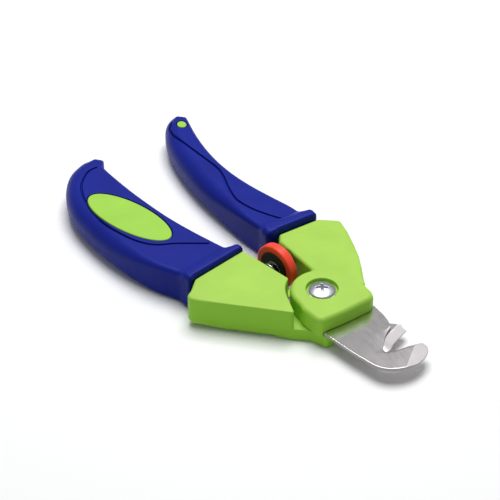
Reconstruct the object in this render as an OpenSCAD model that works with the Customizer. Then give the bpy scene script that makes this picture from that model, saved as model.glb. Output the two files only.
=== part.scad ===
// Pet nail trimmer: two crossing levers, a hooked upper blade over a beaked lower blade,
// a coil spring between the heads and a turning lock ring that floats on the spring.
// Frame: the origin is on the pivot axis, on the plane of the flat underside.
// +X runs from the handles to the blade tip, +Z is the side of the screw head,
// and the finger lever lies towards +Y.

/* [Thickness] */
// Thickness of the two moulded heads
head_t = 11; // [10.8:0.1:11.4]
// Thickness of the overmoulded grips
grip_t = 11.6; // [11.4:0.1:12.2]
// Thickness of the collars at the grip ends
collar_t = 12.8; // [12:0.1:13.5]
// Thickness of each blade
blade_t = 1.2; // [1:0.1:1.6]

/* [Pivot] */
// Outer radius of the threaded pivot sleeve
sleeve_r = 3; // [2.6:0.1:3.2]
// Radius of the screw shank
shank_r = 1.9; // [1.6:0.1:2]
// Radius of the domed screw head
screw_head_r = 4.1; // [3.8:0.1:4.3]
// Radius of the recess round the screw head
recess_r = 4.9; // [4.8:0.1:5.4]
// Radius of the round boss over the pivot
boss_r = 9.6; // [9.2:0.1:9.8]

/* [Lock ring and spring] */
// Outer radius of the lock ring
ring_r = 7.4; // [7:0.1:7.8]
// Inner radius of the lock ring
ring_bore_r = 4.9; // [4.7:0.1:5.2]
// Width of the lock ring along its axis
ring_w = 3; // [2.4:0.1:3.1]
// Outer radius of the coil spring
spring_r = 2.8; // [2.6:0.1:3]
// Wire radius of the coil spring
wire_r = 0.4; // [0.35:0.05:0.45]
// Number of turns of the coil spring
spring_turns = 5; // [4:1:6]

/* [Hidden] */
$fn = 64;

// Levels of the layers at the pivot
layer_gap = 0.1;
lower_top = 4.4;
upper_bottom = lower_top + layer_gap;
cut_z = lower_top - blade_t;
hook_top = upper_bottom + blade_t;
clear_r = boss_r + 1.4;

// Levels of the pivot stack
recess_floor = head_t - 1.4;
washer_t = 0.4;
washer_z = recess_floor + 0.05;
screw_seat = washer_z + washer_t;
flange_r = 5.2;
flange_t = 1.3;

// Collar lines: each collar is laid out in a frame that follows its handle
palm_turn = 189;
palm_collar_u = 28.5;
palm_collar_v = [5.1, 28];
finger_turn = 180;
finger_collar_u = 29.6;
finger_collar_v = [-19.1, -0.2];
collar_w = 4.2;

// Tangs of the cores inside the grips
tang_z = 3;
tang_t = 5.6;
pad_t = 1.2;
// The lower pads lie this far inside the flat underside
pad_inset = 0.1;

// Mid-line of the slot between the heads, where the ring and the spring stand
slot_turn = 12;
slot_x = -19.9;
slot_y = -2.9;
ring_z = ring_r + 0.2;
carrier_half = ring_w / 2 + 0.4;
clip_t = 0.3;
clip_bore_r = ring_bore_r - 0.6;
spring_z = 7.2;
spring_half = 5.5;
cup_t = 1.5;
cup_r = spring_r + 0.5;
peg_r = spring_r - 1.1;
peg_h = 2.1;

// Blade pins
pin_r = 1.5;
palm_pins = [[-7.5, -11.5], [-13, -15.5]];
finger_pins = [[-9, 9.5], [-14.5, 12.5]];

// A point of a smooth curve between b and c, at t from 0 to 1
function blend4(a, b, c, d, t) =
    0.5 * (2 * b + (c - a) * t + (2 * a - 5 * b + 4 * c - d) * t * t
    + (3 * b - a - 3 * c + d) * t * t * t);
// A smooth open curve through the points p, with n steps between each pair
function curve(p, n = 4) = [
    for (i = [0 : len(p) - 2])
        for (j = [0 : n - 1])
            blend4(p[max(i - 1, 0)], p[i], p[i + 1], p[min(i + 2, len(p) - 1)], j / n),
    p[len(p) - 1]
];

palm_outer = [
    [-28.2, -32.3], [-31.5, -34.1], [-38, -37.5], [-47, -40.8], [-57, -43], [-68, -43.8],
    [-78, -43.2], [-87, -40.3], [-94.1, -35.5], [-97.6, -29.9], [-98.2, -26.2], [-97.7, -23.5],
    [-96.3, -22.3]
];
palm_inner = [
    [-94.3, -22], [-91.8, -23.3], [-90, -24], [-85, -23.9], [-75, -23.1], [-65, -21.8],
    [-55, -20.1], [-45, -17.7], [-36, -15], [-30.6, -13.2]
];
finger_inner = [
    [-31, 0.6], [-36, 0.2], [-44, -0.9], [-54, -1.7], [-64, -2.1], [-74, -1.6], [-84, -0.3],
    [-93, 1.8], [-99.5, 4.6], [-103.1, 7.1], [-104.8, 9.8], [-104.9, 12], [-103.4, 13.7]
];
finger_outer = [
    [-101, 14.1], [-97.2, 13.1], [-90.5, 11.4], [-82, 9.9], [-73, 9.2], [-64, 9.6], [-55, 11],
    [-46, 13.2], [-39, 15.1], [-31.2, 16.4]
];
hook_outer = [
    [28.6, -4.4], [32.4, -3.3], [35.2, -1.2], [37, 2], [37.8, 5.2], [37.7, 8.2], [36.7, 11.2],
    [35.1, 13.5], [33.2, 14.7], [31.5, 14.4]
];
hook_inner = [
    [31.1, 13], [30.9, 11.4], [30.5, 9.6], [30.3, 7.4], [29.9, 5], [29.3, 3.1], [28.1, 2.7],
    [26.6, 3.6], [24.5, 5.4], [22.4, 7.8], [20.7, 10.6]
];
cut_edge = [
    [22.8, 14.9], [23.8, 12.4], [24.7, 10], [25.8, 7.9], [27, 6.1], [27.3, 4.2], [26.4, 1.8],
    [23.4, -1], [18, -4.2]
];

// The head of the palm lever without its tang, as a plan outline
palm_head_plan = [
    [-28.3, -10.1], [-23, -8.7], [-9.5, -5.7], [-2.5, -10.8], [4.4, -13.1], [4.4, -13.9],
    [-15.2, -34], [-17.4, -35.9], [-19.4, -35.7], [-20.8, -33.5], [-24.4, -29.7]
];
// The head of the finger lever without its tang, as a plan outline
finger_head_plan = [
    [-29.5, 4.2], [-26.2, 2], [-9.5, 2.6], [5.2, 12.3], [2.9, 13.4], [-2, 16.2], [-7.3, 18.9],
    [-13.2, 21.1], [-19.2, 23.1], [-25.2, 24.4], [-29.5, 18.9]
];
palm_nose_plan = [
    [-12, -6.4], [-4.5, -12.5], [-1, -16], [1, -17], [4.4, -13.9], [6.4, -11.5], [8.4, -9.4],
    [13.4, -7.2], [13.4, 6.8], [5, 8.5], [-8, -1.8], [-12, -2.6]
];
finger_nose_plan = [
    [-8.8, 2.8], [0.5, -9.2], [4.5, -10.2], [11, -9.3], [12.2, -8.2], [12.3, 0], [12, 5],
    [11.8, 9.4], [11, 11.2], [9, 12], [5.2, 12.1], [-8, 11]
];
palm_tang_plan = [
    [-26, -12.5], [-26, -28.5], [-40, -34.4], [-58, -39], [-76, -38.5], [-84, -33], [-82, -27.5],
    [-62, -25], [-44, -21.4], [-34, -17.6]
];
finger_tang_plan = [
    [-26, 4.5], [-26, 13.5], [-46, 9.8], [-72, 6], [-90, 8.6], [-97, 10.8], [-98.5, 8.2],
    [-90, 5], [-74, 2.2], [-54, 2]
];
cut_tang_plan = [[-6, 2], [-4.5, -13], [-14, -18.5], [-16, -14], [-9, -7.5]];
hook_tang_plan = [[-6, -2], [-9.5, 6], [-17, 11], [-15, 15.5], [-3, 11.4], [2, 5]];

// Places the children in the frame of a handle, with +X along the handle away from the pivot
module along(turn) {
    rotate([0, 0, turn]) children();
}

// Places the children on the slot's mid-line with +Z along the spring
module on_spring(z) {
    translate([slot_x, slot_y, z]) rotate([0, 0, slot_turn]) rotate([-90, 0, 0]) children();
}

// A straight-sided layer of a plan outline
module layer(plan, z, h) {
    translate([0, 0, z]) linear_extrude(h) polygon(plan);
}

// A round post on the pivot axis
module post(r, z, h) {
    translate([0, 0, z]) cylinder(r = r, h = h);
}

module collar(turn, u, v) {
    along(turn) translate([u, v[0], 0]) cube([collar_w, v[1] - v[0], collar_t]);
}

// An oval lozenge at a place on a handle
module oval(at, turn, length, width, z, h) {
    n = 40;
    plan = [for (i = [0 : n - 1]) [length / 2 * cos(i * 360 / n), width / 2 * sin(i * 360 / n)]];
    translate([at[0], at[1], z]) rotate([0, 0, turn]) linear_extrude(h) polygon(plan);
}

module palm_oval(z, h = pad_t) {
    oval([-61.9, -31], 16.4, 34.6, 13.6, z, h);
}

module finger_oval(z, h = pad_t) {
    oval([-97.3, 9.9], -14, 4, 3.4, z, h);
}

// The two blade pins of a lever, through its core and the blade's tang
module pins(places, r, z, h) {
    for (p = places)
        translate([p[0], p[1], z]) cylinder(r = r, h = h);
}

// The hole in a head that opens into the slot and holds a spring cup
module spring_pocket(side) {
    on_spring(spring_z) mirror([0, 0, side < 0 ? 1 : 0]) translate([0, 0, spring_half - 1.5])
        cylinder(r = cup_r, h = cup_t + 1.5);
}

module cut_blade_plan(z, h) {
    union() {
        post(8.4, z, h);
        layer(cut_tang_plan, z, h);
        layer(concat([[-3, 8], [9, 8.6], [15.5, 10.6], [18.4, 12.6], [20.8, 15.5]],
            curve(cut_edge), [[12, -6.6], [-3, -7.9]]), z, h);
    }
}

module hook_blade_plan(z, h) {
    union() {
        post(8.6, z, h);
        layer(hook_tang_plan, z, h);
        layer(concat([[-3, -6.5], [9.5, -7.3], [12, -7.7], [23.7, -5.6]], curve(hook_outer),
            curve(hook_inner), [[17.8, 11.7], [14.8, 12.1], [10, 12.2], [7.5, 10.8],
            [-2.5, 10.6]]), z, h);
    }
}

module palm_core() {
    color("yellowgreen") difference() {
        union() {
            difference() {
                layer(palm_head_plan, 0, head_t);
                post(clear_r, lower_top, head_t);
            }
            post(clear_r - 0.3, 0, lower_top);
            layer(palm_nose_plan, 0, lower_top);
            layer(palm_tang_plan, tang_z, tang_t);
        }
        cut_blade_plan(cut_z, blade_t + layer_gap);
        post(sleeve_r, -1, head_t);
        post(flange_r, -1, flange_t + 1);
        pins(palm_pins, pin_r, 1, 8);
        spring_pocket(-1);
    }
}

module palm_grip() {
    color("mediumblue") difference() {
        union() {
            layer(concat(curve(palm_outer), curve(palm_inner)), 0, grip_t);
            collar(palm_turn, palm_collar_u, palm_collar_v);
        }
        layer(palm_tang_plan, tang_z, tang_t);
        layer(palm_head_plan, -1, collar_t + 2);
        palm_oval(grip_t - pad_t, pad_t + 1);
        palm_oval(-1, pad_inset + pad_t + 1);
    }
}

module palm_pad_upper() {
    color("greenyellow") palm_oval(grip_t - pad_t);
}

module palm_pad_lower() {
    color("greenyellow") palm_oval(pad_inset);
}

module cutting_blade() {
    color("lightsteelblue") difference() {
        cut_blade_plan(cut_z, blade_t);
        post(sleeve_r, 0, head_t);
        pins(palm_pins, pin_r, 0, head_t);
    }
}

module cutting_blade_pins() {
    color("silver") pins(palm_pins, pin_r, 1, 8);
}

// The threaded sleeve, with a flange underneath and two holes for a pin spanner
module pivot_sleeve() {
    color("silver") difference() {
        union() {
            post(sleeve_r, 0, recess_floor - 0.1);
            post(flange_r, 0, flange_t);
        }
        post(shank_r, 2, head_t);
        for (x = [-3.9, 3.9])
            translate([x, 0, -1]) cylinder(r = 0.6, h = 1.8);
    }
}

module pivot_screw() {
    dome = 1.5;
    color("gainsboro") difference() {
        union() {
            post(shank_r, 2.2, screw_seat - 2.2);
            intersection() {
                post(screw_head_r, screw_seat, dome);
                translate([0, 0, screw_seat + dome - 8]) sphere(r = 8);
            }
        }
        for (a = [57, 147])
            rotate([0, 0, a]) translate([-2, -0.4, screw_seat + 0.5]) cube([4, 0.8, dome]);
    }
}

module pivot_washer() {
    color("silver") difference() {
        post(screw_head_r + 0.2, washer_z, washer_t);
        post(shank_r, 0, head_t);
    }
}

// A round seat pressed into a head, with a peg inside the end of the spring
module spring_cup(side) {
    color("yellowgreen") on_spring(spring_z) mirror([0, 0, side < 0 ? 1 : 0]) union() {
        translate([0, 0, spring_half]) cylinder(r = cup_r, h = cup_t);
        translate([0, 0, spring_half - peg_h]) cylinder(r = peg_r, h = peg_h + 1);
    }
}

module palm_spring_cup() {
    spring_cup(-1);
}

module finger_spring_cup() {
    spring_cup(1);
}

module finger_core() {
    color("yellowgreen") difference() {
        union() {
            difference() {
                layer(finger_head_plan, 0, head_t);
                post(clear_r, -1, upper_bottom + 1);
            }
            post(boss_r, upper_bottom, head_t - upper_bottom);
            layer(finger_nose_plan, upper_bottom, head_t - upper_bottom);
            layer(finger_tang_plan, tang_z, tang_t);
        }
        hook_blade_plan(upper_bottom - layer_gap, blade_t + layer_gap);
        post(sleeve_r + 0.05, 0, head_t);
        post(recess_r, recess_floor, head_t);
        pins(finger_pins, pin_r, 2, 8);
        spring_pocket(1);
    }
}

module finger_grip() {
    color("mediumblue") difference() {
        union() {
            layer(concat(curve(finger_inner), curve(finger_outer)), 0, grip_t);
            collar(finger_turn, finger_collar_u, finger_collar_v);
        }
        layer(finger_tang_plan, tang_z, tang_t);
        layer(finger_head_plan, -1, collar_t + 2);
        finger_oval(grip_t - pad_t, pad_t + 1);
        finger_oval(-1, pad_inset + pad_t + 1);
    }
}

module finger_tip_inlay_upper() {
    color("greenyellow") finger_oval(grip_t - pad_t);
}

module finger_tip_inlay_lower() {
    color("greenyellow") finger_oval(pad_inset);
}

module hook_blade() {
    color("lightsteelblue") difference() {
        hook_blade_plan(upper_bottom, blade_t);
        post(sleeve_r + 0.05, 0, head_t);
        pins(finger_pins, pin_r, 0, head_t);
    }
}

module hook_blade_pins() {
    color("silver") pins(finger_pins, pin_r, 2, 8);
}

// The black disc that the middle turn of the spring carries, stepped down at both ends
module ring_carrier() {
    color("dimgray") difference() {
        on_spring(ring_z) union() {
            translate([0, 0, -ring_w / 2]) cylinder(r = ring_bore_r - 0.05, h = ring_w);
            translate([0, 0, -carrier_half]) cylinder(r = clip_bore_r, h = 2 * carrier_half);
        }
        on_spring(spring_z) translate([0, 0, -4]) cylinder(r = spring_r + 0.1, h = 8);
    }
}

// Open snap rings on both ends of the carrier, which keep the lock ring on it
module ring_clip() {
    for (side = [-1, 1])
        color("black") on_spring(ring_z)
            translate([0, 0, side * (carrier_half - clip_t / 2) - clip_t / 2]) difference() {
                cylinder(r = ring_bore_r + 0.4, h = clip_t);
                translate([0, 0, -1]) cylinder(r = clip_bore_r, h = 3);
                translate([-1, 0, -1]) cube([2, ring_r, 3]);
            }
}

module lock_ring() {
    color("red") on_spring(ring_z) translate([0, 0, -ring_w / 2]) difference() {
        cylinder(r = ring_r, h = ring_w);
        translate([0, 0, -1]) cylinder(r = ring_bore_r, h = ring_w + 2);
    }
}

// The spring's wire, swept along a helix of round sections
module return_spring() {
    sides = 8;
    steps = 12;
    rings = spring_turns * steps;
    coil_r = spring_r - wire_r;
    reach = 2 * (spring_half - wire_r);
    points = [
        for (i = [0 : rings])
            for (k = [0 : sides - 1])
                let (a = i * 360 / steps, b = k * 360 / sides, r = coil_r + wire_r * cos(b))
                    [r * cos(a), r * sin(a), reach * (i / rings - 0.5) + wire_r * sin(b)]
    ];
    walls = [
        for (i = [0 : rings - 1])
            for (k = [0 : sides - 1])
                let (n = (k + 1) % sides)
                    [i * sides + k, i * sides + n, (i + 1) * sides + n, (i + 1) * sides + k]
    ];
    ends = [[for (k = [sides - 1 : -1 : 0]) k], [for (k = [0 : sides - 1]) rings * sides + k]];
    color("silver") on_spring(spring_z) polyhedron(points, concat(walls, ends));
}

palm_core();
palm_grip();
palm_pad_upper();
palm_pad_lower();
cutting_blade();
cutting_blade_pins();
pivot_sleeve();
pivot_screw();
pivot_washer();
palm_spring_cup();
finger_core();
finger_grip();
finger_tip_inlay_upper();
finger_tip_inlay_lower();
hook_blade();
hook_blade_pins();
finger_spring_cup();
ring_carrier();
ring_clip();
lock_ring();
return_spring();
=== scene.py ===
"""Pet nail trimmer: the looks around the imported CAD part. Lengths are in millimetres until a mesh is made."""

import math

import bpy
import numpy as np
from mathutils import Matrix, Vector


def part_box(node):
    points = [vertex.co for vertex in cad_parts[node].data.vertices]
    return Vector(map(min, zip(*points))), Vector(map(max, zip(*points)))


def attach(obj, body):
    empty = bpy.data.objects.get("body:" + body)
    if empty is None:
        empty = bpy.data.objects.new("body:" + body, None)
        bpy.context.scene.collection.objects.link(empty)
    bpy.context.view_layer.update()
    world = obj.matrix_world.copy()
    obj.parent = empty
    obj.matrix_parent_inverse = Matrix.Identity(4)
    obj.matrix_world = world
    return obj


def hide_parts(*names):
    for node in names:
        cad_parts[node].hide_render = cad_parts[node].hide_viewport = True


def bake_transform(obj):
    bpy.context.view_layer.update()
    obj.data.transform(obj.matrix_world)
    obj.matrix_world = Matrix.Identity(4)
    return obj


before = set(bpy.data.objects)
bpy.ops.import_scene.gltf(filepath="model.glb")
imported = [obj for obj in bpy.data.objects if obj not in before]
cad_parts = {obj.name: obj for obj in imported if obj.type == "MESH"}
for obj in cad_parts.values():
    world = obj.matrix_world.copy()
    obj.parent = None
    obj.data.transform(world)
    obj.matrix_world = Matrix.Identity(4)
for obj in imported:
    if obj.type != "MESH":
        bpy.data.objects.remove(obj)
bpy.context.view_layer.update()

MM = 0.001

# ---------------------------------------------------------------- sizes that the design gives

HEAD_T = 11.0
GRIP_T = 11.6
COLLAR_T = 12.8
LOWER_TOP = 4.4
UPPER_BOTTOM = 4.5
BLADE_T = 1.2
BOSS_R = 9.6
CLEAR_R = 11.0
SLEEVE_R = 3.0
SHANK_R = 1.9
RECESS_R = 4.9
RECESS_FLOOR = 9.6
SCREW_SEAT = 10.05
SCREW_HEAD_R = 4.1
FLANGE_R = 5.2
FLANGE_T = 1.3
SPANNER_HOLE_R = 0.6
SPANNER_HOLE_AT = 3.9
SPANNER_HOLE_DEPTH = 0.8
RING_R = 7.4
RING_BORE_R = 4.9
RING_W = 3.0
SPRING_R = 2.8
WIRE_R = 0.4
SPRING_TURNS = 5
SPRING_HALF = 5.5
CUP_R = SPRING_R + 0.5
CUP_T = 1.5
PEG_INSET = 1.1
PEG_H = 2.1
TANG_Z = 3.0
TANG_T = 5.6
PIN_R = 1.5

SLOT_AT = (-19.9, -2.9)
SLOT_TURN = 12
RING_Z = RING_R + 0.2
SPRING_Z = 7.2

PALM_TURN = 189
PALM_COLLAR_U = 28.5
PALM_COLLAR_V = (5.1, 28.0)
FINGER_TURN = 180
FINGER_COLLAR_U = 29.6
FINGER_COLLAR_V = (-19.1, -0.2)
COLLAR_W = 4.2

PALM_OVAL = ((-61.9, -31.0), 16.4, 34.6, 13.6)
FINGER_OVAL = ((-97.3, 9.9), -14.0, 4.0, 3.4)
PAD_T = 1.2

PALM_PINS = ((-7.5, -11.5), (-13.0, -15.5))
FINGER_PINS = ((-9.0, 9.5), (-14.5, 12.5))

# ---------------------------------------------------------------- plan outlines


def spline(points, steps=6):
    """A smooth open curve through the points."""
    p = np.array([points[0], *points, points[-1]], float)
    out = []
    for a, b, c, d in zip(p, p[1:], p[2:], p[3:]):
        for t in np.arange(steps) / steps:
            out.append(0.5 * (2 * b + (c - a) * t + (2 * a - 5 * b + 4 * c - d) * t**2
                              + (3 * b - a - 3 * c + d) * t**3))
    return [*out, p[-1]]


def filleted(points, radius, steps=6):
    """A closed outline with each corner rounded, by one radius or by one for each corner."""
    n = len(points)
    radii = radius if hasattr(radius, "__len__") else [radius] * n
    out = []
    for i, r in enumerate(radii):
        p = np.array(points[i], float)
        a = np.array(points[i - 1], float) - p
        b = np.array(points[(i + 1) % n], float) - p
        la, lb = np.linalg.norm(a), np.linalg.norm(b)
        a, b = a / la, b / lb
        half = math.acos(np.clip(a @ b, -1, 1)) / 2
        reach = min(r / math.tan(half), 0.48 * la, 0.48 * lb)
        if reach < 0.01 or half > 1.55:
            out.append(p)
            continue
        r = reach * math.tan(half)
        centre = p + (a + b) / np.linalg.norm(a + b) * r / math.sin(half)
        start, end = p + a * reach - centre, p + b * reach - centre
        t0 = math.atan2(start[1], start[0])
        turn = (math.atan2(end[1], end[0]) - t0 + math.pi) % (2 * math.pi) - math.pi
        out += [centre + r * np.array([math.cos(t0 + turn * k / steps), math.sin(t0 + turn * k / steps)])
                for k in range(steps + 1)]
    return out


def oval(at, turn, length, width, steps=72):
    a = math.radians(turn)
    ring = [2 * math.pi * i / steps for i in range(steps)]
    return [(at[0] + length / 2 * math.cos(t) * math.cos(a) - width / 2 * math.sin(t) * math.sin(a),
             at[1] + length / 2 * math.cos(t) * math.sin(a) + width / 2 * math.sin(t) * math.cos(a))
            for t in ring]


PALM_OUTER = [
    (-28.2, -32.3), (-31.5, -34.1), (-38, -37.5), (-47, -40.8), (-57, -43), (-68, -43.8),
    (-78, -43.2), (-87, -40.3), (-94.1, -35.5), (-97.6, -29.9), (-98.2, -26.2), (-97.7, -23.5),
    (-96.3, -22.3)
]
PALM_INNER = [
    (-94.3, -22), (-91.8, -23.3), (-90, -24), (-85, -23.9), (-75, -23.1), (-65, -21.8),
    (-55, -20.1), (-45, -17.7), (-36, -15), (-30.6, -13.2)
]
FINGER_INNER = [
    (-31, 0.6), (-36, 0.2), (-44, -0.9), (-54, -1.7), (-64, -2.1), (-74, -1.6), (-84, -0.3),
    (-93, 1.8), (-99.5, 4.6), (-103.1, 7.1), (-104.8, 9.8), (-104.9, 12), (-103.4, 13.7)
]
FINGER_OUTER = [
    (-101, 14.1), (-97.2, 13.1), (-90.5, 11.4), (-82, 9.9), (-73, 9.2), (-64, 9.6), (-55, 11),
    (-46, 13.2), (-39, 15.1), (-31.2, 16.4)
]
HOOK_OUTER = [
    (28.6, -4.4), (32.4, -3.3), (35.2, -1.2), (37, 2), (37.8, 5.2), (37.7, 8.2), (36.7, 11.2),
    (35.1, 13.5), (33.2, 14.7), (31.5, 14.4)
]
HOOK_INNER = [
    (31.1, 13), (30.9, 11.4), (30.5, 9.6), (30.3, 7.4), (29.9, 5), (29.3, 3.1), (28.1, 2.7),
    (26.6, 3.6), (24.5, 5.4), (22.4, 7.8), (20.7, 10.6)
]
CUT_EDGE = [
    (22.8, 14.9), (23.8, 12.4), (24.7, 10), (25.8, 7.9), (27, 6.1), (27.3, 4.2), (26.4, 1.8),
    (23.4, -1), (18, -4.2)
]
PALM_HEAD = [
    (-28.3, -10.1), (-23, -8.7), (-9.5, -5.7), (-2.5, -10.8), (4.4, -13.1), (4.4, -13.9),
    (-15.2, -34), (-17.4, -35.9), (-19.4, -35.7), (-20.8, -33.5), (-24.4, -29.7)
]
PALM_HEAD_FILLETS = [0.6, 0.3, 0.8, 0.5, 0.2, 1.2, 2, 2, 2, 3, 1.5]
FINGER_HEAD = [
    (-29.5, 4.2), (-26.2, 2), (-9.5, 2.6), (5.2, 12.3), (2.9, 13.4), (-2, 16.2), (-7.3, 18.9),
    (-13.2, 21.1), (-19.2, 23.1), (-25.2, 24.4), (-29.5, 18.9)
]
FINGER_HEAD_FILLETS = [0.8, 0.8, 0.3, 0.4, 6, 9, 9, 9, 9, 1.6, 0.8]
PALM_NOSE = [
    (-12, -6.4), (-4.5, -12.5), (-1, -16), (1, -17), (4.4, -13.9), (6.4, -11.5), (8.4, -9.4),
    (13.4, -7.2), (13.4, 6.8), (5, 8.5), (-8, -1.8), (-12, -2.6)
]
PALM_NOSE_FILLETS = [0.3, 0.3, 0.3, 0.3, 0.3, 3, 2.5, 1.5, 1.5, 0.5, 0.3, 0.6]
FINGER_NOSE = [
    (-8.8, 2.8), (0.5, -9.2), (4.5, -10.2), (11, -9.3), (12.2, -8.2), (12.3, 0), (12, 5),
    (11.8, 9.4), (11, 11.2), (9, 12), (5.2, 12.1), (-8, 11)
]
FINGER_NOSE_FILLETS = [0.3, 0.3, 3, 2, 1, 3, 3, 3, 1.5, 2, 2, 0.5]
PALM_TANG = [
    (-26, -12.5), (-26, -28.5), (-40, -34.4), (-58, -39), (-76, -38.5), (-84, -33), (-82, -27.5),
    (-62, -25), (-44, -21.4), (-34, -17.6)
]
FINGER_TANG = [
    (-26, 4.5), (-26, 13.5), (-46, 9.8), (-72, 6), (-90, 8.6), (-97, 10.8), (-98.5, 8.2),
    (-90, 5), (-74, 2.2), (-54, 2)
]
CUT_TANG = [(-6, 2), (-4.5, -13), (-14, -18.5), (-16, -14), (-9, -7.5)]
HOOK_TANG = [(-6, -2), (-9.5, 6), (-17, 11), (-15, 15.5), (-3, 11.4), (2, 5)]
CUT_BODY = [(-3, 8), (9, 8.6), (15.5, 10.6), (18.4, 12.6), (20.8, 15.5)]
CUT_HEEL = [(12, -6.6), (-3, -7.9)]
HOOK_BODY = [(-3, -6.5), (9.5, -7.3), (12, -7.7), (23.7, -5.6)]
HOOK_HEEL = [(17.8, 11.7), (14.8, 12.1), (10, 12.2), (7.5, 10.8), (-2.5, 10.6)]

# Moulded grooves on the upper and lower faces of the grips
PALM_GROOVE = [
    (-91, -26.7), (-90.6, -29.4), (-88.6, -32.1), (-84, -36), (-76.6, -38.7), (-67, -39.7),
    (-59.3, -38.7), (-50.3, -35.6), (-45, -31.5), (-42.2, -26), (-36.7, -17.4)
]
FINGER_GROOVE = [
    (-100.6, 7.8), (-98, 5.8), (-93, 4.6), (-86, 4.9), (-76, 5.9), (-69.2, 6.4), (-64, 5.5),
    (-58, 3.6), (-53, 2.5), (-49.4, 2.5), (-43, 4.3), (-35.2, 8.4)
]

# ---------------------------------------------------------------- distance fields


def segment_distance(points, x, y, closed):
    """Distance to a line of points, and its crossings with a ray along +X."""
    p = np.array(points, float)
    q = np.roll(p, -1, axis=0) if closed else p[1:]
    best = np.full(np.broadcast(x, y).shape, 1e12)
    inside = np.zeros(best.shape, bool)
    for (ax, ay), (bx, by) in zip(p, q):
        dx, dy = bx - ax, by - ay
        length2 = dx * dx + dy * dy
        if length2 < 1e-12:
            continue
        t = np.clip(((x - ax) * dx + (y - ay) * dy) / length2, 0, 1)
        np.minimum(best, (x - ax - t * dx) ** 2 + (y - ay - t * dy) ** 2, out=best)
        if closed:
            crosses = (ay > y) != (by > y)
            if abs(dy) > 1e-12:
                inside ^= crosses & (x < ax + (y - ay) * dx / dy)
    return np.sqrt(best), inside


def area(points):
    """A field of the signed distance to a closed outline, below zero inside it."""
    def field(x, y):
        d, inside = segment_distance(points, x, y, True)
        return np.where(inside, -d, d)
    return field


def line(points):
    """A field of the distance to an open line."""
    def field(x, y):
        return segment_distance(points, x, y, False)[0]
    return field


def disc(x, y, r, at=(0.0, 0.0)):
    """The distance to a round outline about a point."""
    return np.hypot(x - at[0], y - at[1]) - r


def join(a, b, soft=0.0):
    """Both shapes, with a fillet of about this size where they meet."""
    if not soft:
        return np.minimum(a, b)
    h = np.clip(0.5 + 0.5 * (b - a) / soft, 0, 1)
    return b + (a - b) * h - soft * h * (1 - h)


def cut(a, b, soft=0.0):
    """The first shape without the second, with its new edges eased."""
    return -join(-a, b, soft)


def common(a, b, soft=0.0):
    return -join(-a, -b, soft)


def slab(plan, z, low, high, top=0.0, bottom=None):
    """A plate of a plan between two levels, with its upper and lower edges rounded."""
    if bottom is None:
        bottom = top
    middle = (low + high) / 2
    r = np.where(z > middle, top, bottom)
    a, b = plan + r, np.abs(z - middle) - (high - low) / 2 + r
    return np.minimum(np.maximum(a, b), 0) + np.hypot(np.maximum(a, 0), np.maximum(b, 0)) - r


def ramp(v, start, end):
    """A smooth step from 0 at one value to 1 at another."""
    t = np.clip((v - start) / (end - start), 0, 1)
    return t * t * (3 - 2 * t)


def handle_frame(x, y, turn):
    """Coordinates along a handle and across it."""
    a = math.radians(turn)
    return x * math.cos(a) + y * math.sin(a), y * math.cos(a) - x * math.sin(a)


def spring_frame(x, y, z, level):
    """Coordinates across the spring, up, and along it."""
    a = math.radians(SLOT_TURN)
    dx, dy = x - SLOT_AT[0], y - SLOT_AT[1]
    return dx * math.cos(a) + dy * math.sin(a), z - level, dy * math.cos(a) - dx * math.sin(a)


# ---------------------------------------------------------------- from a field to a mesh


def surface(field, low, high, step):
    """Vertices and four-sided faces on the zero level of a field, one vertex in each cell it crosses."""
    step = np.broadcast_to(np.array(step, float), 3)
    axes = [np.arange(a - 1.5 * s, b + 2.5 * s, s) for a, b, s in zip(low, high, step)]
    f = field(*np.ix_(*axes)).astype(np.float32)
    f = np.broadcast_to(f, [len(a) for a in axes])
    solid = f < 0
    total = np.zeros([n - 1 for n in f.shape] + [3])
    count = np.zeros([n - 1 for n in f.shape], np.int16)
    crossings = []
    for axis in range(3):
        lo = [slice(None)] * 3
        hi = [slice(None)] * 3
        lo[axis], hi[axis] = slice(None, -1), slice(1, None)
        cross = np.argwhere(solid[tuple(lo)] != solid[tuple(hi)])
        i0 = tuple(cross.T)
        nxt = cross.copy()
        nxt[:, axis] += 1
        a, b = f[i0], f[tuple(nxt.T)]
        at = cross.astype(float)
        at[:, axis] += a / (a - b)
        outward = a < 0
        others = [k for k in range(3) if k != axis]
        for du in (0, 1):
            for dv in (0, 1):
                cell = cross.copy()
                cell[:, others[0]] -= du
                cell[:, others[1]] -= dv
                key = tuple(cell.T)
                np.add.at(total, key, at)
                np.add.at(count, key, 1)
        crossings.append((axis, cross, outward, others))
    used = np.argwhere(count > 0)
    number = np.full(count.shape, -1, np.int64)
    number[tuple(used.T)] = np.arange(len(used))
    at = total[tuple(used.T)] / count[tuple(used.T)][:, None]
    vertices = at * step + np.array([a[0] for a in axes])
    faces = []
    for axis, cross, outward, others in crossings:
        corners = []
        for du, dv in ((0, 0), (1, 0), (1, 1), (0, 1)):
            cell = cross.copy()
            cell[:, others[0]] -= du
            cell[:, others[1]] -= dv
            corners.append(number[tuple(cell.T)])
        quad = np.stack(corners, 1)
        flip = outward if axis == 1 else ~outward
        quad[flip] = quad[flip][:, ::-1]
        faces.append(quad)
    return vertices, np.concatenate(faces)


def slope(field, p, reach):
    """Value and gradient of a field at points."""
    signs = np.array([(1, -1, -1), (-1, -1, 1), (-1, 1, -1), (1, 1, 1)], float)
    value, gradient = 0, 0
    for s in signs:
        v = field(*(p + s * reach).T)
        value = value + v / 4
        gradient = gradient + s * v[:, None] / (4 * reach)
    return value, gradient


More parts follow.
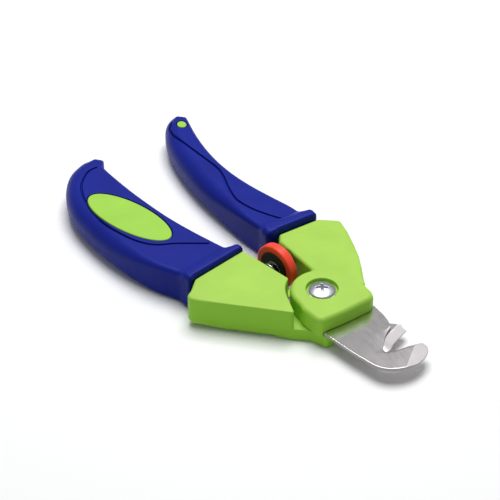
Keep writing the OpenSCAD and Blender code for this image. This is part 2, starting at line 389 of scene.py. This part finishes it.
def on_surface(field, p, step, rounds=2):
    """Moves points onto the zero level, and gives the normals there."""
    reach = 0.15 * np.min(step)
    limit = 0.5 * np.max(step)
    for _ in range(rounds):
        value, gradient = slope(field, p, reach)
        move = -gradient * (value / np.maximum((gradient**2).sum(1), 0.2))[:, None]
        size = np.linalg.norm(move, axis=1)
        p = p + move * np.minimum(1, limit / np.maximum(size, 1e-9))[:, None]
    gradient = slope(field, p, reach)[1]
    return p, gradient / np.maximum(np.linalg.norm(gradient, axis=1), 1e-9)[:, None]


def new_piece(name, vertices, faces, normals=None):
    """A smooth mesh object, from millimetres."""
    mesh = bpy.data.meshes.new(name)
    mesh.from_pydata((np.asarray(vertices) * MM).tolist(), [], [tuple(f) for f in faces])
    mesh.polygons.foreach_set("use_smooth", [True] * len(mesh.polygons))
    if normals is not None:
        mesh.normals_split_custom_set_from_vertices(np.asarray(normals).tolist())
    mesh.update()
    piece = bpy.data.objects.new(name, mesh)
    bpy.context.scene.collection.objects.link(piece)
    return piece


def moulded(name, field, low, high, step):
    """A piece whose skin is the zero level of a field."""
    vertices, faces = surface(field, low, high, step)
    vertices, normals = on_surface(field, vertices, step)
    return new_piece(name, vertices, faces, normals)


# ---------------------------------------------------------------- shapes of the pieces

PALM_GRIP_AREA = area(spline(PALM_OUTER) + spline(PALM_INNER))
PALM_INNER_LINE = line(spline(PALM_INNER))
PALM_OUTER_LINE = line(spline(PALM_OUTER))
FINGER_GRIP_AREA = area(spline(FINGER_INNER) + spline(FINGER_OUTER))
FINGER_INNER_LINE = line(spline(FINGER_INNER))
FINGER_OUTER_LINE = line(spline(FINGER_OUTER))
PALM_HEAD_AREA = area(filleted(PALM_HEAD, PALM_HEAD_FILLETS))
FINGER_HEAD_AREA = area(filleted(FINGER_HEAD, FINGER_HEAD_FILLETS))
PALM_NOSE_AREA = area(filleted(PALM_NOSE, PALM_NOSE_FILLETS))
FINGER_NOSE_AREA = area(filleted(FINGER_NOSE, FINGER_NOSE_FILLETS))
PALM_TANG_AREA = area(filleted(PALM_TANG, 1.5))
FINGER_TANG_AREA = area(filleted(FINGER_TANG, 1.0))
PALM_OVAL_AREA = area(oval(*PALM_OVAL))
FINGER_OVAL_AREA = area(oval(*FINGER_OVAL))
PALM_GROOVE_LINE = line(spline(PALM_GROOVE))
FINGER_GROOVE_LINE = line(spline(FINGER_GROOVE))
CUT_TANG_AREA = area(filleted(CUT_TANG, 0.8))
HOOK_TANG_AREA = area(filleted(HOOK_TANG, 0.8))
CUT_BODY_AREA = area(CUT_BODY + spline(CUT_EDGE) + CUT_HEEL)
HOOK_BODY_AREA = area(HOOK_BODY + spline(HOOK_OUTER) + spline(HOOK_INNER) + HOOK_HEEL)
CUT_EDGE_LINE = line(spline(CUT_EDGE))
HOOK_INNER_LINE = line(spline(HOOK_INNER))

GAP = 0.06
PRESS_FIT = 0.02
RUNNING_FIT = 0.05
LAYER_GAP = 0.1
PALM_HEAD_CORNER = (-18.5, -35)
GROOVE_R = 0.38
GROOVE_STEEPNESS = 0.42
MOAT = 0.2
COLLAR_ROUND = 1.6
CUT_BLADE_Z = (LOWER_TOP - BLADE_T, LOWER_TOP)
HOOK_BLADE_Z = (UPPER_BOTTOM, UPPER_BOTTOM + BLADE_T)


def cut_blade_plan(x, y):
    return join(join(disc(x, y, 8.4), CUT_TANG_AREA(x, y)), CUT_BODY_AREA(x, y))


def hook_blade_plan(x, y):
    return join(join(disc(x, y, 8.6), HOOK_TANG_AREA(x, y)), HOOK_BODY_AREA(x, y))


def collar(x, y, z, turn, start, across):
    """The raised bead at the end of a grip: crisp against the head, round on the other sides."""
    u, v = handle_frame(x, y, turn)
    lead = 1.0
    r = COLLAR_ROUND
    a = np.abs(u - start - (COLLAR_W - lead) / 2) - (COLLAR_W + lead) / 2 + r
    b = np.abs(v - sum(across) / 2) - (across[1] - across[0]) / 2 + r
    c = np.abs(z - COLLAR_T / 2) - COLLAR_T / 2 + r
    box = np.minimum(np.maximum(np.maximum(a, b), c), 0) - r
    box = box + np.sqrt(np.maximum(a, 0) ** 2 + np.maximum(b, 0) ** 2 + np.maximum(c, 0) ** 2)
    return common(box, start - u, 1.2)


def grip(x, y, z, plan, crisp_line, soft_line, turn, start, across, groove, window, tang, head):
    """An overmoulded grip: rolled on one long edge, crisper on the other, with its bead and grooves."""
    u, _ = handle_frame(x, y, turn)
    side = ramp(crisp_line(x, y) - soft_line(x, y), -3, 3)
    along = ramp(u, 38, 66)
    roll = 1.3 + 0.5 * along + side * (0.3 + 2.9 * along)
    body = slab(plan(x, y), z, 0, GRIP_T, roll, roll)
    body = join(body, collar(x, y, z, turn, start, across), 2.4)
    body = np.maximum(body, -z)
    body = cut(body, np.hypot(groove(x, y), GROOVE_STEEPNESS * body) - GROOVE_R, 0.2)
    pocket = np.maximum(window(x, y) - MOAT, np.minimum(z, GRIP_T - z) - PAD_T)
    body = cut(body, pocket, 0.25)
    body = np.maximum(body, -slab(tang(x, y) - GAP, z, TANG_Z - GAP, TANG_Z + TANG_T + GAP))
    return common(body, GAP - head(x, y), 1.4)


def palm_grip(x, y, z):
    return grip(x, y, z, PALM_GRIP_AREA, PALM_INNER_LINE, PALM_OUTER_LINE, PALM_TURN, PALM_COLLAR_U,
                PALM_COLLAR_V, PALM_GROOVE_LINE, PALM_OVAL_AREA, PALM_TANG_AREA, PALM_HEAD_AREA)


def finger_grip(x, y, z):
    return grip(x, y, z, FINGER_GRIP_AREA, FINGER_OUTER_LINE, FINGER_INNER_LINE, FINGER_TURN,
                FINGER_COLLAR_U, FINGER_COLLAR_V, FINGER_GROOVE_LINE, FINGER_OVAL_AREA,
                FINGER_TANG_AREA, FINGER_HEAD_AREA)


def pad(plan, level):
    """A soft pad in its window, with an eased rim."""
    def field(x, y, z):
        return slab(plan(x, y) + 0.12, z, level, level + PAD_T, 0.35, 0.35)
    return field


def bores(x, y, z, body, places, low, high):
    for p in places:
        body = np.maximum(body, -slab(disc(x, y, PIN_R, p), z, low, high))
    return body


def cup_hole(x, y, z, body, side):
    a, b, c = spring_frame(x, y, z, SPRING_Z)
    hole = np.maximum(np.hypot(a, b) - CUP_R - GAP / 2, np.abs(c * side - SPRING_HALF) - CUP_T)
    return cut(body, hole, 0.15)


def palm_core(x, y, z):
    """The palm lever's moulding, rounder at the outer corner of its head."""
    r = disc(x, y, 0)
    corner = ramp(disc(x, y, 0, PALM_HEAD_CORNER), 10, 3)
    head = slab(PALM_HEAD_AREA(x, y), z, 0, HEAD_T, 0.45 + 0.5 * corner, 2.2 + 0.8 * corner)
    head = cut(head, np.maximum(r - CLEAR_R, LOWER_TOP - z), 0.6)
    lower = slab(join(r - CLEAR_R + 0.3, PALM_NOSE_AREA(x, y)), z, 0, LOWER_TOP, 0.35, 0.9)
    body = np.maximum(join(head, lower, 0.25), -z)
    blade = slab(cut_blade_plan(x, y) - GAP, z, CUT_BLADE_Z[0] - GAP, LOWER_TOP + LAYER_GAP)
    body = cut(body, blade, 0.1)
    body = join(body, slab(PALM_TANG_AREA(x, y), z, TANG_Z, TANG_Z + TANG_T))
    body = np.maximum(body, SLEEVE_R + PRESS_FIT - r)
    body = cut(body, np.maximum(r - FLANGE_R - 0.05, z - FLANGE_T), 0.15)
    body = bores(x, y, z, body, PALM_PINS, 1, 9)
    return cup_hole(x, y, z, body, -1)


def finger_core(x, y, z):
    """The finger lever's moulding, with the boss over the pivot and the recess for the screw's head."""
    r = disc(x, y, 0)
    plan = FINGER_HEAD_AREA(x, y)
    u, v = handle_frame(x, y, FINGER_TURN)
    step = 0.16 * ramp(u - 0.12 * (v + 9), 26.2, 26.8)
    head = slab(plan, z + step * (z > HEAD_T / 2), 0, HEAD_T, 1.1, 1.0)
    head = np.maximum(head, -slab(r - CLEAR_R, z, -9, UPPER_BOTTOM))
    upper = slab(join(r - BOSS_R, FINGER_NOSE_AREA(x, y), 0.8), z, UPPER_BOTTOM, HEAD_T, 1.5, 0.25)
    body = join(head, upper, 0.7)
    body = np.maximum(body, z - HEAD_T)
    body = np.maximum(body, -np.maximum(r - CLEAR_R, z - UPPER_BOTTOM))
    blade = slab(hook_blade_plan(x, y) - GAP, z, UPPER_BOTTOM - LAYER_GAP, HOOK_BLADE_Z[1] + 0.12)
    body = cut(body, blade, 0.1)
    body = join(body, slab(FINGER_TANG_AREA(x, y), z, TANG_Z, TANG_Z + TANG_T))
    body = np.maximum(body, SLEEVE_R + RUNNING_FIT - r)
    body = cut(body, np.maximum(r - RECESS_R, RECESS_FLOOR - z), 0.35)
    body = bores(x, y, z, body, FINGER_PINS, 2, 10)
    return cup_hole(x, y, z, body, 1)


# The slanted facet of the hook: a point on its upper border, its way down, and its slope
FACET_AT = (31.1, 11.7)
FACET_WAY = (0.774, 0.632)
FACET_SLOPE = 0.2


def ground(edge, width, low, high, land):
    """Height of a plate's upper face where it is ground down towards a cutting edge."""
    return high - (high - low - land) * np.clip(1 - edge / width, 0, 1)


def cutting_blade(x, y, z):
    plan = cut_blade_plan(x, y)
    face = ground(CUT_EDGE_LINE(x, y), 3.2, *CUT_BLADE_Z, 0.2)
    body = common(slab(plan, z, *CUT_BLADE_Z, 0.1), z - face, 0.12)
    body = np.maximum(body, SLEEVE_R + PRESS_FIT - disc(x, y, 0))
    return bores(x, y, z, body, PALM_PINS, 0, 9)


def hook_blade(x, y, z):
    """The upper blade, ground along its inner edge and in one slanted facet at its tip."""
    plan = hook_blade_plan(x, y)
    width = 0.5 + 2.4 * ramp(y, 10, 5) * ramp(x, 29.6, 27.5)
    face = ground(HOOK_INNER_LINE(x, y), width, *HOOK_BLADE_Z, BLADE_T - 0.08)
    past_tip = (x - FACET_AT[0]) * FACET_WAY[0] + (y - FACET_AT[1]) * FACET_WAY[1]
    face = np.minimum(face, HOOK_BLADE_Z[1] - FACET_SLOPE * past_tip)
    body = common(slab(plan, z, *HOOK_BLADE_Z, 0.1, 0.1), z - face, 0.08)
    body = np.maximum(body, SLEEVE_R + RUNNING_FIT - disc(x, y, 0))
    return bores(x, y, z, body, FINGER_PINS, 0, 9)


def sleeve(x, y, z):
    """The threaded sleeve, with its flange and two holes for a pin spanner."""
    r = disc(x, y, 0)
    body = join(slab(r - SLEEVE_R, z, 0, RECESS_FLOOR - 0.1, 0.25),
                slab(r - FLANGE_R, z, 0, FLANGE_T, 0.15, 0.3))
    for side in (-1, 1):
        body = np.maximum(body, -slab(disc(x, y, SPANNER_HOLE_R, (SPANNER_HOLE_AT * side, 0)), z,
                                       -1, SPANNER_HOLE_DEPTH))
    return np.maximum(body, -np.maximum(r - SHANK_R, 2 - z))


CROSS_TURN = 57
CROSS_REACH = 2.1
CROSS_HALF_WIDTH = 0.42
CROSS_DEPTH = 1.6
DOME_R = 8.0
DOME_RISE = 1.5


def screw(x, y, z):
    """The pivot screw, with its domed head and its cross recess."""
    r = disc(x, y, 0)
    top = SCREW_SEAT + DOME_RISE
    dome = np.sqrt(r * r + (z - top + DOME_R) ** 2) - DOME_R
    head = common(slab(r - SCREW_HEAD_R, z, SCREW_SEAT, top + 1, 0, 0.2), dome, 0.35)
    body = join(head, slab(r - SHANK_R, z, 2.2, SCREW_SEAT + 0.2, 0, 0.3))
    depth = top - z
    for turn in (CROSS_TURN, CROSS_TURN + 90):
        u, v = handle_frame(x, y, turn)
        taper = 0.18 * depth
        arm = np.maximum(np.abs(u) - CROSS_REACH + 0.9 * depth, np.abs(v) - CROSS_HALF_WIDTH + taper)
        arm = np.maximum(arm, depth - CROSS_DEPTH)
        body = cut(body, arm, 0.12)
    return body


def washer_ring(x, y, z):
    r = disc(x, y, 0)
    return np.maximum(slab(r - SCREW_HEAD_R - 0.2, z, RECESS_FLOOR + 0.05, SCREW_SEAT, 0.12), SHANK_R - r)


def lathe(a, b, c, inner, outer, half, rounding):
    """A ring about the spring's direction with a rounded section."""
    p = np.abs(np.hypot(a, b) - (inner + outer) / 2) - (outer - inner) / 2 + rounding
    q = np.abs(c) - half + rounding
    return np.minimum(np.maximum(p, q), 0) + np.hypot(np.maximum(p, 0), np.maximum(q, 0)) - rounding


def lock_ring(x, y, z):
    a, b, c = spring_frame(x, y, z, RING_Z)
    return lathe(a, b, c, RING_BORE_R, RING_R, RING_W / 2, 0.55)


CARRIER_HALF = RING_W / 2 + 0.4
CLIP_T = 0.3
CLIP_BORE_R = RING_BORE_R - 0.6


def carrier(x, y, z):
    """The disc on the spring, stepped down at both ends for the snap rings."""
    a, b, c = spring_frame(x, y, z, RING_Z)
    wide = lathe(a, b, c, -9, RING_BORE_R - 0.05, RING_W / 2, 0.1)
    narrow = lathe(a, b, c, -9, CLIP_BORE_R, CARRIER_HALF, 0.1)
    a, b, c = spring_frame(x, y, z, SPRING_Z)
    return cut(join(wide, narrow), np.hypot(a, b) - SPRING_R - 0.1, 0.25)


def clips(x, y, z):
    """The two open snap rings, with their gaps underneath."""
    a, b, c = spring_frame(x, y, z, RING_Z)
    body = lathe(a, b, np.abs(c) - CARRIER_HALF + CLIP_T / 2, CLIP_BORE_R, RING_BORE_R + 0.4,
                 CLIP_T / 2, 0.08)
    return np.maximum(body, -np.maximum(np.abs(a) - 1.0, b))


def cup(side):
    """A spring seat, with a peg that stands inside the end of the spring."""
    def field(x, y, z):
        a, b, c = spring_frame(x, y, z, SPRING_Z)
        r, c = np.hypot(a, b), c * side
        seat = slab(r - CUP_R, c, SPRING_HALF, SPRING_HALF + CUP_T, 0.1, 0.25)
        peg = slab(r - SPRING_R + PEG_INSET, c, SPRING_HALF - PEG_H, SPRING_HALF + 1, 0, 0.4)
        return join(seat, peg, 0.2)
    return field


def coil(name):
    """The wire of the return spring: an even helix whose ends are cut square."""
    a = math.radians(SLOT_TURN)
    along = np.array([-math.sin(a), math.cos(a), 0])
    across = np.array([math.cos(a), math.sin(a), 0])
    up = np.array([0, 0, 1.0])
    at = np.array([*SLOT_AT, SPRING_Z])
    turn_steps, sides = 40, 14
    reach = SPRING_HALF - WIRE_R
    vertices = []
    rings = SPRING_TURNS * turn_steps
    for i in range(rings + 1):
        t = 2 * math.pi * i / turn_steps
        out = across * math.cos(t) - up * math.sin(t)
        centre = at + out * (SPRING_R - WIRE_R) + along * reach * (2 * i / rings - 1)
        for k in range(sides):
            b = 2 * math.pi * k / sides
            n = out * math.cos(b) + along * math.sin(b)
            vertices.append(centre + n * WIRE_R)
    faces = []
    for i in range(rings):
        for k in range(sides):
            n = (k + 1) % sides
            faces.append((i * sides + k, i * sides + n, (i + 1) * sides + n, (i + 1) * sides + k))
    faces.append(tuple(reversed(range(sides))))
    faces.append(tuple(rings * sides + k for k in range(sides)))
    return new_piece(name, vertices, faces)


# ---------------------------------------------------------------- materials


def shader(name):
    material = bpy.data.materials.new(name)
    material.use_nodes = True
    nodes = material.node_tree.nodes
    return material, material.node_tree, nodes["Principled BSDF"]


def noise(tree, scale, detail=2.0, stretch=(1, 1, 1), roughness=0.5):
    """A noise in the piece's own coordinates; the scale is in features per millimetre."""
    place = tree.nodes.new("ShaderNodeTexCoord")
    mapping = tree.nodes.new("ShaderNodeMapping")
    mapping.inputs["Scale"].default_value = stretch
    texture = tree.nodes.new("ShaderNodeTexNoise")
    texture.inputs["Scale"].default_value = scale / MM
    texture.inputs["Detail"].default_value = detail
    texture.inputs["Roughness"].default_value = roughness
    tree.links.new(place.outputs["Object"], mapping.inputs["Vector"])
    tree.links.new(mapping.outputs["Vector"], texture.inputs["Vector"])
    return texture.outputs["Fac"]


def spread(tree, value, low, high):
    node = tree.nodes.new("ShaderNodeMapRange")
    node.inputs["From Min"].default_value = 0.3
    node.inputs["From Max"].default_value = 0.7
    node.inputs["To Min"].default_value = low
    node.inputs["To Max"].default_value = high
    tree.links.new(value, node.inputs["Value"])
    return node.outputs["Result"]


def tint(tree, value, dark, light):
    node = tree.nodes.new("ShaderNodeValToRGB")
    node.color_ramp.elements[0].position = 0.3
    node.color_ramp.elements[1].position = 0.7
    node.color_ramp.elements[0].color = (*dark, 1)
    node.color_ramp.elements[1].color = (*light, 1)
    tree.links.new(value, node.inputs["Fac"])
    return node.outputs["Color"]


def relief(tree, height, depth):
    """A bump normal whose full height is a depth in millimetres."""
    node = tree.nodes.new("ShaderNodeBump")
    node.inputs["Strength"].default_value = 1.0
    node.inputs["Distance"].default_value = depth * MM
    tree.links.new(height, node.inputs["Height"])
    return node.outputs["Normal"]


def painted_light_by_slope(tree, face, painted_wall_shade):
    """Painted light: the given colour on flat faces and a darker painted-shade colour on vertical sides, mixed
    by how steep the normal is, standing in for overhead light on tops and shade on the sides.
    """
    place = tree.nodes.new("ShaderNodeTexCoord")
    split = tree.nodes.new("ShaderNodeSeparateXYZ")
    size = tree.nodes.new("ShaderNodeMath")
    size.operation = "ABSOLUTE"
    tree.links.new(place.outputs["Normal"], split.inputs["Vector"])
    tree.links.new(split.outputs["Z"], size.inputs[0])
    mix = tree.nodes.new("ShaderNodeMixRGB")
    mix.inputs["Color1"].default_value = (*painted_wall_shade, 1)
    tree.links.new(size.outputs["Value"], mix.inputs["Fac"])
    tree.links.new(face, mix.inputs["Color2"])
    return mix.outputs["Color"]


def plastic(name, colour, rough, painted_wall_shade=None, grain=2.2, depth=0.012, vary=0.05, gloss=0.3, subsurface=0.0):
    """Moulded plastic or rubber: a faint cloudiness in the colour, and a fine spark-eroded grain."""
    material, tree, out = shader(name)
    dark = tuple(c * (1 - vary) for c in colour)
    light = tuple(min(1, c * (1 + vary)) for c in colour)
    face = tint(tree, noise(tree, 0.09, 3), dark, light)
    # Painted light: flat faces keep the lighter colour and vertical sides take a darker painted-shade colour.
    if painted_wall_shade:
        face = painted_light_by_slope(tree, face, painted_wall_shade)
    tree.links.new(face, out.inputs["Base Color"])
    tree.links.new(spread(tree, noise(tree, 0.5, 4), rough - 0.04, rough + 0.05), out.inputs["Roughness"])
    tree.links.new(relief(tree, noise(tree, grain, 3), depth), out.inputs["Normal"])
    out.inputs["Specular IOR Level"].default_value = gloss
    out.inputs["Subsurface Weight"].default_value = subsurface
    out.inputs["Subsurface Scale"].default_value = 1.5 * MM
    return material


def metal(name, colour, rough, painted_wall_shade=None, stretch=(1, 1, 1), grain=1.5, depth=0.003, vary=0.04):
    """Ground or plated metal, with fine scratches along one direction."""
    material, tree, out = shader(name)
    dark = tuple(c * (1 - vary) for c in colour)
    light = tuple(min(1, c * (1 + vary)) for c in colour)
    face = tint(tree, noise(tree, 0.3, 4), dark, light)
    # Painted light: flat faces keep the bright colour and vertical sides take a darker colour standing in for a
    # reflection of shaded surroundings.
    if painted_wall_shade:
        face = painted_light_by_slope(tree, face, painted_wall_shade)
    tree.links.new(face, out.inputs["Base Color"])
    lines = noise(tree, grain, 5, stretch)
    tree.links.new(spread(tree, lines, rough - 0.04, rough + 0.04), out.inputs["Roughness"])
    tree.links.new(relief(tree, lines, depth), out.inputs["Normal"])
    out.inputs["Metallic"].default_value = 1.0
    return material


# Painted light: the lime's flat faces are lighter than its sides, a painted sheen from the overhead light; the
# sides' colour is nearer the plastic's own.
LIME = plastic("lime plastic", (0.38, 0.63, 0.09), 0.42, painted_wall_shade=(0.27, 0.60, 0.025), gloss=0.25)
LIME_PAD = plastic("lime pad", (0.33, 0.62, 0.07), 0.5, grain=1.6, depth=0.018)
# Painted shade: the blue rubber's vertical sides are darker than its flat faces.
BLUE = plastic("blue rubber", (0.012, 0.021, 0.25), 0.40, painted_wall_shade=(0.003, 0.012, 0.22),
               grain=2.6, depth=0.014, vary=0.08, gloss=0.1)
RED = plastic("red plastic", (0.94, 0.07, 0.035), 0.34)
BLACK = plastic("black plastic", (0.005, 0.005, 0.006), 0.5)
# Painted reflection: the blades' vertical sides are much darker than their flat faces, standing in for a
# reflection of the shaded floor beside them.
STEEL = metal("ground steel", (0.84, 0.80, 0.80), 0.20, painted_wall_shade=(0.28, 0.27, 0.27),
              stretch=(0.25, 3, 1), depth=0.0003, vary=0.03)
ZINC = metal("bright zinc", (0.60, 0.61, 0.66), 0.38)
PLAIN_STEEL = metal("plain steel", (0.60, 0.60, 0.62), 0.35)
SPRING_STEEL = metal("spring wire", (0.45, 0.45, 0.46), 0.30)

# ---------------------------------------------------------------- assembly


def place(piece, body, slot, material, *nodes):
    piece.data.materials.append(material)
    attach(piece, body)
    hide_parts(*nodes)
    return piece


def corners(node, margin=0.0):
    """The box of a CAD node, in millimetres."""
    low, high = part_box(node)
    return np.array(low) / MM - margin, np.array(high) / MM + margin


def skin(node, field, body, slot, material, step):
    """A detailed piece in the place of a CAD node."""
    low, high = corners(node)
    piece = moulded(node + "_skin", field, low, high, step)
    return place(piece, body, slot, material, node)


PALM, FINGER = "palm_lever", "finger_lever"
COARSE = 0.3
FINE = 0.2

skin("palm_grip", palm_grip, PALM, "blue_grip", BLUE, COARSE)
skin("finger_grip", finger_grip, FINGER, "blue_grip", BLUE, COARSE)
skin("palm_core", palm_core, PALM, "lime_plastic", LIME, COARSE)
skin("finger_core", finger_core, FINGER, "lime_plastic", LIME, COARSE)
skin("palm_pad_upper", pad(PALM_OVAL_AREA, GRIP_T - PAD_T), PALM, "lime_pad", LIME_PAD, COARSE)
skin("palm_pad_lower", pad(PALM_OVAL_AREA, 0.1), PALM, "lime_pad", LIME_PAD, COARSE)
skin("finger_tip_inlay_upper", pad(FINGER_OVAL_AREA, GRIP_T - PAD_T), FINGER, "lime_pad", LIME_PAD, FINE)
skin("finger_tip_inlay_lower", pad(FINGER_OVAL_AREA, 0.1), FINGER, "lime_pad", LIME_PAD, FINE)
skin("cutting_blade", cutting_blade, PALM, "blade_steel", STEEL, (FINE, FINE, 0.12))
skin("hook_blade", hook_blade, FINGER, "blade_steel", STEEL, (FINE, FINE, 0.12))
skin("pivot_sleeve", sleeve, PALM, "pin_steel", PLAIN_STEEL, FINE)
skin("pivot_screw", screw, PALM, "screw_metal", ZINC, 0.12)
skin("pivot_washer", washer_ring, PALM, "pin_steel", PLAIN_STEEL, 0.15)
skin("lock_ring", lock_ring, "lock_ring", "red_ring", RED, FINE)
skin("ring_carrier", carrier, "ring_carriage", "black_plastic", BLACK, FINE)
skin("ring_clip", clips, "ring_carriage", "black_plastic", BLACK, 0.15)
skin("palm_spring_cup", cup(-1), PALM, "lime_plastic", LIME, FINE)
skin("finger_spring_cup", cup(1), FINGER, "lime_plastic", LIME, FINE)

spring = coil("return_spring_wire")
spring.data.materials.append(SPRING_STEEL)
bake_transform(spring)
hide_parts("return_spring")

for node in ("cutting_blade_pins", "hook_blade_pins"):
    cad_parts[node].data.materials.clear()
    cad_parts[node].data.materials.append(PLAIN_STEEL)

# ---------------------------------------------------------------- floor, light and camera

# From here on, lengths are in metres
FLOOR_SIZE = 4.0
FLOOR_COLOUR = (0.94, 0.94, 0.94)
SKY_STRENGTH = 0.25
bpy.ops.mesh.primitive_plane_add(size=FLOOR_SIZE, location=(0, 0, 0))
floor = bpy.context.object
floor.name = "floor"
paper, tree, out = shader("white paper")
out.inputs["Base Color"].default_value = (*FLOOR_COLOUR, 1)
out.inputs["Roughness"].default_value = 0.7
floor.data.materials.append(paper)

bpy.context.scene.view_settings.view_transform = "Standard"
world = bpy.data.worlds.new("studio")
bpy.context.scene.world = world
world.use_nodes = True
world.node_tree.nodes["Background"].inputs["Color"].default_value = (0.95, 0.97, 1.0, 1)
world.node_tree.nodes["Background"].inputs["Strength"].default_value = SKY_STRENGTH


def soft_box(name, at, target, size, power):
    """A rectangular studio light that faces a target."""
    data = bpy.data.lights.new(name, "AREA")
    data.shape = "RECTANGLE"
    data.size, data.size_y = size
    data.energy = power
    light = bpy.data.objects.new(name, data)
    bpy.context.scene.collection.objects.link(light)
    light.location = at
    light.rotation_euler = (Vector(target) - Vector(at)).to_track_quat("-Z", "Y").to_euler()


MIDDLE = (-0.033, -0.014, 0.005)
soft_box("overhead", (-0.15, 0.08, 0.59), MIDDLE, (0.4, 0.4), 3.8)
soft_box("behind", (-0.12, 0.29, 0.39), (0.03, 0.01, 0.005), (0.26, 0.26), 0.12)

CAMERA_AZIMUTH = 57
CAMERA_ELEVATION = 38
CAMERA_TARGET = Vector((-17.7, -14.3, 20.0)) * MM
CAMERA_DISTANCE = 0.54
CAMERA_LENS = 129.6
CAMERA_SENSOR = 36
data = bpy.data.cameras.new("camera")
data.lens = CAMERA_LENS
data.sensor_width = CAMERA_SENSOR
data.clip_start, data.clip_end = 0.01, 20
camera = bpy.data.objects.new("camera", data)
bpy.context.scene.collection.objects.link(camera)
azimuth, elevation = math.radians(CAMERA_AZIMUTH), math.radians(CAMERA_ELEVATION)
back = Vector((math.sin(azimuth) * math.cos(elevation), -math.cos(azimuth) * math.cos(elevation),
               math.sin(elevation)))
camera.location = CAMERA_TARGET + back * CAMERA_DISTANCE
camera.rotation_mode = "QUATERNION"
camera.rotation_quaternion = (-back).to_track_quat("-Z", "Y")
bpy.context.scene.camera = camera
